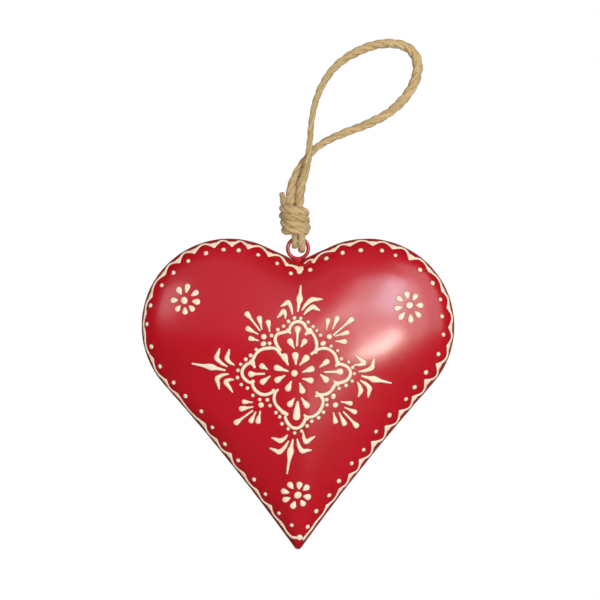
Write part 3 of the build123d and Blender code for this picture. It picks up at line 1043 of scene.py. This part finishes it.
class HEART_OT_border_paint(bpy.types.Operator):
    """Trails the scalloped line and its dots along the rim"""

    bl_idname = "heart.border_paint"
    bl_label = "Border Paint"

    def execute(self, context):
        drape, sizes, material = paint_start(context)
        rim_px = self.rim_line(context.scene.tin_heart_sizes)
        paint = PaintMesh(drape)
        for cusps in (LEFT_CUSPS_PX, RIGHT_CUSPS_PX):
            for start, end in zip(cusps, cusps[1:] + [TIP_DOT_PX]):
                self.scallop(paint, rim_px, start, end, sizes)
            for cusp in cusps:
                self.cusp(paint, rim_px, cusp, sizes, closed=cusp != cusps[0])
        self.notch(paint, sizes)
        paint.finish("border_scallops", material)
        dots = PaintMesh(drape, seed=2)
        for place in BORDER_DOTS_PX:
            size, stretch = dots.random.uniform(0.88, 1.12), dots.random.uniform(1.0, 1.12)
            dots.dot(place, sizes.border_dot * size, sizes.drop_height, stretch)
        dots.dot(TIP_DOT_PX, sizes.border_dot * 1.5, sizes.drop_height)
        dots.finish("border_dots", material)
        return {"FINISHED"}

    def rim_line(self, sizes):
        """Pixels once round the rim, several to each step of its contour."""
        rim = contour(sizes)
        rim = np.concatenate([rim, rim[:1]])
        places = np.linspace(0, len(rim) - 1, RIM_FINENESS * (len(rim) - 1), endpoint=False)
        x, z = (np.interp(places, np.arange(len(rim)), rim[:, k]) for k in (0, 1))
        return np.stack([SWING_PX[0] + x / PIXEL, SWING_PX[1] - z / PIXEL], axis=1)

    def beside_rim(self, rim_px, place, inset):
        """The pixel this far inside the rim point that is nearest to a place."""
        i = int(np.argmin(np.linalg.norm(rim_px - place, axis=1)))
        along = rim_px[(i + RIM_REACH) % len(rim_px)] - rim_px[i - RIM_REACH]
        inward = np.array((-along[1], along[0])) / np.linalg.norm(along)
        return rim_px[i] + inward * inset / PIXEL

    def inset_at(self, place, sizes):
        """How far inside the rim the border line runs, which is more on the flanks of the notch."""
        near = max(0.0, 1 - abs(place[0] - NOTCH_BLOB_PX[0][0]) / NOTCH_REACH_PX)
        return sizes.border_inset * (1 + NOTCH_INSET * near)

    def scallop(self, paint, rim_px, start, end, sizes):
        """One round arch of the border between two cusps."""
        start, end = np.array(start), np.array(end)
        depths = [
            np.linalg.norm(self.beside_rim(rim_px, tip, self.inset_at(tip, sizes)) - tip) * PIXEL
            for tip in (start, end)
        ]
        corners, widths = [start], [0.8]
        for share in (0.15, 0.32, 0.5, 0.68, 0.85):
            place = start + (end - start) * share
            deep = (depths[0] * (1 - share) + depths[1] * share) * (2 * share - 1) ** 2
            corners.append(self.beside_rim(rim_px, place, self.inset_at(place, sizes) + deep))
            widths.append(paint.random.uniform(0.9, 1.15))
        paint.stroke(corners + [end], [sizes.border_line * w for w in widths + [0.8]], sizes.line_height)

    def cusp(self, paint, rim_px, cusp, sizes, closed):
        """The filled corner where two arches meet, with a line along the rim where its back is closed."""
        tip = np.array(cusp)
        inset = self.inset_at(tip, sizes)
        way = self.beside_rim(rim_px, tip, inset) - tip
        deep = np.linalg.norm(way) * PIXEL
        wide = min(sizes.border_cusp, 0.8 * deep) * paint.random.uniform(0.9, 1.1)
        reach = 0.5 if closed else 0.2
        wedge = [tip + way * reach, tip + way * reach / 2, tip]
        paint.stroke(wedge, [wide, 0.8 * wide, 0.6 * sizes.border_line], sizes.line_height)
        if not closed:
            return
        along = np.array((-way[1], way[0])) / np.linalg.norm(way)
        sides = [
            self.beside_rim(rim_px, tip + along * side, inset + 0.35 * deep)
            for side in (-CUSP_REACH_PX, CUSP_REACH_PX)
        ]
        back = [sides[0], tip + way * 0.6, sides[1]]
        paint.stroke(back, [sizes.border_line * w for w in (0.8, 1.1, 0.8)], sizes.line_height)

    def notch(self, paint, sizes):
        """The line across the notch, which swells into a blob, and the faint line to the right of it."""
        for corners, widths, rise in (
            (NOTCH_LINE_PX, (0.77, 0.77, 1.1, 2.1, 2.8), 1.0),
            (NOTCH_BLOB_PX, (2.7, 2.1), 1.0),
            (NOTCH_WISP_PX, (0.55, 0.7, 0.9, 1.2), 0.7),
        ):
            paint.stroke(corners, [sizes.border_line * w for w in widths], sizes.line_height * rise)


class HEART_OT_medallion_paint(bpy.types.Operator):
    """Trails the four-lobed medallion with its petals, drops and dots"""

    bl_idname = "heart.medallion_paint"
    bl_label = "Medallion Paint"

    def execute(self, context):
        drape, sizes, material = paint_start(context)
        lines = PaintMesh(drape, seed=3)
        for corners in MEDALLION_LINES_PX:
            widths = [sizes.medallion_line * lines.random.uniform(0.85, 1.1) for _ in corners]
            widths[0] = widths[-1] = sizes.medallion_line * 0.75
            lines.stroke(corners, widths, sizes.line_height)
        for foot, tip, foot_px, tip_px in MEDALLION_WEDGES_PX:
            lines.stroke([foot, tip], [foot_px * PIXEL, tip_px * PIXEL], sizes.line_height)
        lines.finish("medallion_lines", material)
        dots = PaintMesh(drape, seed=4)
        for place in MEDALLION_DOTS_PX:
            dots.dot(place, sizes.medallion_dot * dots.random.uniform(0.9, 1.12), sizes.drop_height * 0.8)
        for place in MEDALLION_LARGE_DOTS_PX:
            dots.dot(place, sizes.medallion_dot * 1.35, sizes.drop_height, stretch=1.25)
        dots.finish("medallion_dots", material)
        petals = PaintMesh(drape, seed=5)
        petals.dot(CENTRE_DOT_PX, sizes.petal * 1.08, sizes.drop_height)
        petals.tapers(CENTRE_PETALS_PX, DROP, sizes.petal, sizes.drop_height, (0.94, 1.08))
        petals.tapers(LOBE_STALKS_PX, STALK, sizes.petal, sizes.drop_height)
        petals.taper(*BOTTOM_DROP_PX, PLUMP_DROP, sizes.bottom_drop, sizes.drop_height)
        petals.tapers(LOBE_DROPS_PX, DROP, sizes.petal, sizes.drop_height, (0.84, 0.98))
        petals.finish("medallion_petals", material)
        return {"FINISHED"}


class HEART_OT_spray_paint(bpy.types.Operator):
    """Trails the corner sprays and the four fronds round the medallion"""

    bl_idname = "heart.spray_paint"
    bl_label = "Spray Paint"

    def execute(self, context):
        drape, sizes, material = paint_start(context)
        sprays = PaintMesh(drape, seed=6)
        for place in SPRAY_DOTS_PX:
            sprays.dot(place, sizes.petal * 0.9, sizes.drop_height)
        sprays.tapers(SPRAY_STALKS_PX, STALK, sizes.spray_drop * 1.12, sizes.drop_height)
        sprays.tapers(SPRAY_DROPS_PX, SLIM_DROP, sizes.spray_drop, sizes.drop_height, (0.92, 1.08))
        sprays.finish("corner_sprays", material)
        fronds = PaintMesh(drape, seed=7)
        for spear in SPEARS_PX:
            tip, widest, foot = (np.array(place) for place in spear)
            corners = [tip, tip + (widest - tip) * 0.45, widest, widest + (foot - widest) * 0.5, foot]
            fronds.stroke(corners, [sizes.spear * w for w in SPEAR_WIDTHS], sizes.drop_height)
        for leaf in LEAVES_PX:
            foot, crest, tip = (np.array(place) for place in leaf)
            rise = foot + (crest - foot) * 0.55 + (crest - tip) * 0.12
            corners = [foot, rise, crest, crest + (tip - crest) * 0.5, tip]
            fronds.stroke(corners, [sizes.leaf * w for w in LEAF_WIDTHS], sizes.drop_height)
        fronds.finish("fronds", material)
        return {"FINISHED"}


class HEART_OT_flower_paint(bpy.types.Operator):
    """Dots the three small flowers on the lobes and above the tip"""

    bl_idname = "heart.flower_paint"
    bl_label = "Flower Paint"

    def execute(self, context):
        drape, sizes, material = paint_start(context)
        flowers = PaintMesh(drape, seed=8)
        for middle, bulbs in FLOWERS_PX:
            flowers.dot(middle, sizes.petal * 1.1, sizes.drop_height, stretch=1.15)
            for bulb in bulbs:
                bulb = np.array(bulb)
                point = bulb + (np.array(middle) - bulb) * flowers.random.uniform(0.34, 0.42)
                radius = sizes.petal * flowers.random.uniform(0.86, 1.0)
                flowers.taper(bulb, point, PLUMP_DROP, radius, sizes.drop_height)
        flowers.finish("flowers", material)
        return {"FINISHED"}


# Rope


def smooth_line(corners, step=0.25 * MM):
    """Points about a step apart on the NURBS spline that has these corners as its control points."""
    data = bpy.data.curves.new("route", "CURVE")
    data.dimensions = "3D"
    data.resolution_u = 24
    spline = data.splines.new("NURBS")
    spline.points.add(len(corners) - 1)
    for point, corner in zip(spline.points, corners):
        point.co = (*corner, 1)
    spline.order_u = 3
    spline.use_endpoint_u = True
    holder = bpy.data.objects.new("route", data)
    mesh = bpy.data.meshes.new_from_object(holder)
    line = np.array([v.co for v in mesh.vertices])
    bpy.data.objects.remove(holder)
    bpy.data.curves.remove(data)
    bpy.data.meshes.remove(mesh)
    way = way_along(line)
    places = np.linspace(0, way[-1], int(way[-1] / step) + 1)
    return np.stack([np.interp(places, way, line[:, k]) for k in range(3)], axis=1)


class RopeMesh:
    """Gathers twisted strands in one mesh, with each point's place along and round its strand."""

    strands = 3
    sides = 14  # of each strand
    strand_radius = 0.65  # over the rope's
    strand_reach = 0.39  # from the rope's middle to a strand's, over the rope's radius

    def __init__(self, seed=11):
        self.points = []
        self.faces = []
        self.strand = []
        self.random = np.random.default_rng(seed)

    def lay_rope(self, line, diameter_at, lay, turn0=0.0):
        """Twists strands round a line. diameter_at takes the share of the way along it."""
        middles = frames(line)
        way = way_along(line)
        for number in range(self.strands):
            wobble = self.random.uniform(0, 50)
            centres, sizes = [], []
            for i, (middle, along, across) in enumerate(middles):
                share = i / (len(middles) - 1)
                other = along.cross(across)
                turn = turn0 + 2 * pi * (way[i] / lay + number / self.strands)
                turn += 0.35 * noise.noise(Vector((way[i] / 0.012, number * 3.7, wobble)))
                half = diameter_at(share) / 2
                uneven = 0.05 * noise.noise(Vector((way[i] / 0.006, wobble, number)))
                centres.append(middle + (across * cos(turn) + other * sin(turn)) * half * self.strand_reach)
                sizes.append(half * (self.strand_radius + uneven))
            self.strand_tube(centres, sizes, number + wobble)

    def strand_tube(self, centres, sizes, offset):
        """One strand: a tube with a slightly fibrous section, closed at both ends."""
        first = len(self.points)
        way = 0.0
        for i, (middle, along, across) in enumerate(frames(centres)):
            way += (middle - Vector(centres[i - 1])).length if i else 0.0
            other = along.cross(across)
            end = min(i, len(centres) - 1 - i)
            shrink = sqrt(1 - (1 - min(1.0, (end + 0.35) / 3)) ** 2)
            for turn in turns_of(self.sides):
                place = Vector((way / 0.0035, offset, 1.7 * cos(turn) + 1.3 * sin(turn)))
                reach = sizes[i] * (1 + 0.07 * noise.noise(place)) * shrink
                self.points.append(middle + across * reach * cos(turn) + other * reach * sin(turn))
                self.strand.append((turn / FIBRES[0] * FIBRES_ROUND, way, offset))
        self.faces += tube(first, len(centres), self.sides)

    def finish(self, name, material, *nodes):
        made = new_object(name, self.points, self.faces, material)
        add_values(made, "strand", self.strand)
        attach(made, ROPE)
        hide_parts(*nodes)
        return made


def knot_point(x_mm, y_mm, z_mm):
    """A point given in millimetres from the swing centre, with its height above the knot's top."""
    return SWING + Vector((x_mm, y_mm, KNOT_TOP_MM + z_mm)) * MM


class HEART_OT_rope_loop(bpy.types.Operator):
    """Twists the hanging loop from three jute strands"""

    bl_idname = "heart.rope_loop"
    bl_label = "Rope Loop"

    def execute(self, context):
        sizes = context.scene.tin_heart_rope
        corners = [knot_point(x, y, z) for x, y, z, _ in ROPE_ROUTE_MM]
        line = smooth_line(corners, 0.45 * MM)
        way = way_along(corners)
        thick = [thickness * MM for _, _, _, thickness in ROPE_ROUTE_MM]

        def diameter_at(share):
            return float(np.interp(share, way / way[-1], thick))

        rope = RopeMesh()
        rope.lay_rope(line, diameter_at, sizes.lay)
        made = rope.finish("jute_loop", material_of("twisted_jute", jute_material), "rope_loop")
        return {"FINISHED"}


class HEART_OT_knot(bpy.types.Operator):
    """Winds the whipping, the turns round the eye and the cut end"""

    bl_idname = "heart.knot"
    bl_label = "Knot"

    def execute(self, context):
        sizes = context.scene.tin_heart_rope
        material = material_of("twisted_jute", jute_material)
        self.whipping(sizes, material)
        self.core(sizes, material)
        self.bight(sizes, material)
        self.tail(sizes, material)
        return {"FINISHED"}

    def whipping(self, sizes, material):
        """Turns of rope that climb to the left across the front, from inside the knot and back into it."""
        low = SWING.z + 1.3 * MM + sizes.wrap_diameter / 2
        first, last = -1.15 * pi, (2 * sizes.wrap_turns + 0.6) * pi
        line = []
        for run in np.arange(first, last, 2 * pi / 150):
            climb = max(0.0, run) / (2 * pi)
            share = min(1.0, climb / sizes.wrap_turns)
            tucked = max(0.0, -0.85 * pi - run) + max(0.0, run - 2 * sizes.wrap_turns * pi)
            radius = sizes.wrap_radius * (0.9 + 0.1 * sin(pi * share)) - 0.9 * MM * tucked
            line.append((
                SWING.x + (KNOT_X_MM + 0.45 - 0.85 * share) * MM + radius * cos(pi - run),
                0.92 * radius * sin(pi - run),
                low + sizes.wrap_pitch * climb - 0.04 * radius * cos(pi - run),
            ))
        rope = RopeMesh(seed=21)
        rope.lay_rope(line, lambda share: sizes.wrap_diameter * (1.0 + 0.05 * sin(9 * share)), sizes.lay)
        rope.finish("jute_whipping", material, "knot_wrap")

    def core(self, sizes, material):
        """The two legs pressed together inside the whipping."""
        rope = RopeMesh(seed=22)
        for side in (-1, 1):
            heights = [CORE_FOOT_MM + CORE_STEP_MM * step for step in range(CORE_STEPS)]
            line = [knot_point(KNOT_X_MM + LEG_X_MM * side, 0, z_mm) for z_mm in heights]
            rope.lay_rope(line, lambda share: CORE_DIAMETER, sizes.lay, turn0=side)
        rope.finish("jute_core", material, "knot_core")

    def bight(self, sizes, material):
        """Two turns of rope that hang in the eye."""
        rope = RopeMesh(seed=23)
        for x_mm, reach, drop, thick in BIGHT_TURNS_MM:
            front = [(-0.95 * reach, 2.6), (-reach, 0.3), (-reach, -0.45 * drop), (-0.58 * reach, -drop)]
            side = front + [(-y_mm, z_mm) for y_mm, z_mm in reversed(front)]
            corners = [SWING + Vector((x_mm, y_mm, z_mm)) * MM for y_mm, z_mm in side]
            rope.lay_rope(smooth_line(corners), lambda share: thick * MM, sizes.lay * 0.45, turn0=x_mm)
        rope.finish("jute_bight", material, "rope_bight")

    def tail(self, sizes, material):
        """The cut end, standing at the left of the knot's top."""
        rope = RopeMesh(seed=24)
        line = smooth_line([knot_point(x_mm, 0, z_mm) for x_mm, z_mm in TAIL_ROUTE_MM])
        rope.lay_rope(line, lambda share: sizes.tail_diameter, sizes.lay * 0.7)
        rope.finish("jute_tail", material, "rope_tail")


# Stage


class HEART_OT_stage(bpy.types.Operator):
    """Sets the camera, the lights and the pale backdrop"""

    bl_idname = "heart.stage"
    bl_label = "Stage"

    def execute(self, context):
        settings = context.scene.tin_heart_stage
        scene = context.scene
        scene.view_settings.view_transform = "Standard"
        data = bpy.data.cameras.new("camera")
        data.sensor_width = settings.sensor
        data.lens = settings.sensor * settings.distance / (PHOTO_SIDE * PIXEL)
        camera = bpy.data.objects.new("camera", data)
        camera.location = camera_place(settings.distance)
        camera.rotation_euler = (pi / 2, 0, 0)
        scene.collection.objects.link(camera)
        scene.camera = camera
        self.world(scene)
        self.light("key", (-6, 52), (40, 30), settings.key, mirrored=False)
        self.light("window", (21.5, 10), (26, 28), settings.window)
        self.light("pane", (20.5, 15.5), (7.5, 17), settings.pane, (0.75, 1.0, 1.15), -22)
        self.light("far_window", (44, 18), (28, 40), settings.far_window)
        self.light("low_lamp", (17.1, -3.6), (12, 4), settings.low_lamp, (1.0, 0.95, 0.82), 38)
        self.light("high_lamp", (6, 8), (11, 4), settings.high_lamp, (1.0, 0.93, 0.85), 38)
        self.light("wall", (-22, 21), (60, 40), settings.wall, (1.1, 0.9, 1.1))
        self.light("door", (-39, 14), (16, 17), settings.door)
        self.backdrop()
        return {"FINISHED"}

    def light(self, name, direction, span, radiance, tint=(1, 1, 1), roll=0, mirrored=True):
        """A panel seen from the heart. direction gives degrees to the right of the front and up."""
        distance = bpy.context.scene.tin_heart_stage.light_distance
        right, up = (radians(x) for x in direction)
        way = Vector((sin(right) * cos(up), -cos(right) * cos(up), sin(up)))
        data = bpy.data.lights.new(name, "AREA")
        data.shape = "RECTANGLE"
        data.size, data.size_y = (2 * distance * tan(radians(x) / 2) for x in span)
        data.energy = radiance * pi * data.size * data.size_y
        data.color = tint
        made = bpy.data.objects.new(name, data)
        made.location = Vector((SWING.x, 0, SWING.z - AIM_DROP)) + way * distance
        turned = way.to_track_quat("Z", "Y").to_matrix() @ Matrix.Rotation(radians(roll), 3, "Z")
        made.rotation_euler = turned.to_euler()
        made.visible_camera = False
        made.visible_glossy = mirrored
        bpy.context.scene.collection.objects.link(made)

    def world(self, scene):
        """White to the camera, and a dim room to everything else."""
        world = bpy.data.worlds.new("room")
        world.use_nodes = True
        world.node_tree.nodes.clear()
        nodes = Nodes(world.node_tree)
        rays = nodes.node("ShaderNodeLightPath").outputs
        seen, room, mirrored = (
            nodes.node("ShaderNodeBackground", None, sockets).outputs[0]
            for sockets in (
                {"Color": (1, 1, 1, 1)},
                {"Color": (1, 0.97, 0.93, 1), "Strength": scene.tin_heart_stage.room},
                {"Strength": MIRRORED_ROOM},
            )
        )
        dim = nodes.node("ShaderNodeMixShader", None, {0: rays["Is Glossy Ray"], 1: room, 2: mirrored})
        sockets = {0: rays["Is Camera Ray"], 1: dim.outputs[0], 2: seen}
        mixed = nodes.node("ShaderNodeMixShader", None, sockets)
        nodes.node("ShaderNodeOutputWorld", None, {"Surface": mixed.outputs[0]})
        scene.world = world

    def backdrop(self):
        """A pale floor below the heart that runs up into a wall behind it."""
        floor_z = SWING.z - FLOOR_DROP
        profile = [(-1.6, floor_z), (0.5, floor_z)]
        for turn in np.linspace(0, pi / 2, 16)[1:]:
            profile.append((0.5 + 0.5 * sin(turn), floor_z + 0.5 * (1 - cos(turn))))
        profile.append((1.0, floor_z + 2.2))
        points = [(SWING.x + side, y, z) for y, z in profile for side in (-2.0, 2.0)]
        faces = [(2 * i, 2 * i + 1, 2 * i + 3, 2 * i + 2) for i in range(len(profile) - 1)]
        made = new_object("backdrop", points, faces, self.backdrop_material())

    def backdrop_material(self):
        """Pale where the shadow falls, white further off, and dark in mirrors."""
        shader = Shader("pale_backdrop")
        rays = shader.node("ShaderNodeLightPath").outputs
        glow, dark = (
            shader.node("ShaderNodeEmission", None, {"Color": (1, 1, 1, 1), "Strength": strength})
            for strength in (1.0, MIRRORED_BACKDROP)
        )
        pale = shader.node("ShaderNodeBsdfDiffuse", None, {"Color": (0.85, 0.85, 0.85, 1)})
        far = shader.distance(shader.place(), (SWING.x, 0, SWING.z - FLOOR_DROP))
        white = shader.ramp(far, (0.15, 0.55), (0.45, 1.0)) * Value(shader, rays["Is Camera Ray"])
        seen = shader.node("ShaderNodeMixShader", None, {0: white, 1: pale.outputs[0], 2: glow.outputs[0]})
        sockets = {0: rays["Is Glossy Ray"], 1: seen.outputs[0], 2: dark.outputs[0]}
        mixed = shader.node("ShaderNodeMixShader", None, sockets)
        shader.feed(shader.tree.nodes["Material Output"], "Surface", mixed.outputs[0])
        return shader.material


class HEART_PT_panel(bpy.types.Panel):
    """Lists the pieces of the tin heart"""

    bl_idname = "HEART_PT_panel"
    bl_label = "Tin Heart"
    bl_space_type = "VIEW_3D"
    bl_region_type = "UI"
    bl_category = "Tin Heart"

    def draw(self, context):
        column = self.layout.column(align=True)
        for operator in OPERATORS:
            column.operator(operator.bl_idname)
        for name, _ in GROUPS:
            group = getattr(context.scene, name)
            box = self.layout.box()
            for prop in group.bl_rna.properties:
                if prop.identifier not in ("rna_type", "name"):
                    box.prop(group, prop.identifier)


GROUPS = (
    ("tin_heart_sizes", HeartSizes),
    ("tin_heart_paint", PaintSizes),
    ("tin_heart_rope", RopeSizes),
    ("tin_heart_finishes", Finishes),
    ("tin_heart_stage", StageSettings),
)
OPERATORS = (
    HEART_OT_stage,
    HEART_OT_shells,
    HEART_OT_seam,
    HEART_OT_border_paint,
    HEART_OT_medallion_paint,
    HEART_OT_spray_paint,
    HEART_OT_flower_paint,
    HEART_OT_rope_loop,
    HEART_OT_knot,
)


def register():
    for name, group in GROUPS:
        bpy.utils.register_class(group)
        setattr(bpy.types.Scene, name, bpy.props.PointerProperty(type=group))
    for cls in (*OPERATORS, HEART_PT_panel):
        bpy.utils.register_class(cls)


def unregister():
    for cls in (HEART_PT_panel, *reversed(OPERATORS)):
        bpy.utils.unregister_class(cls)
    for name, group in reversed(GROUPS):
        delattr(bpy.types.Scene, name)
        bpy.utils.unregister_class(group)


def main():
    register()
    for operator in OPERATORS:
        group, call = operator.bl_idname.split(".")
        getattr(getattr(bpy.ops, group), call)()


if __name__ == "__main__":
    main()
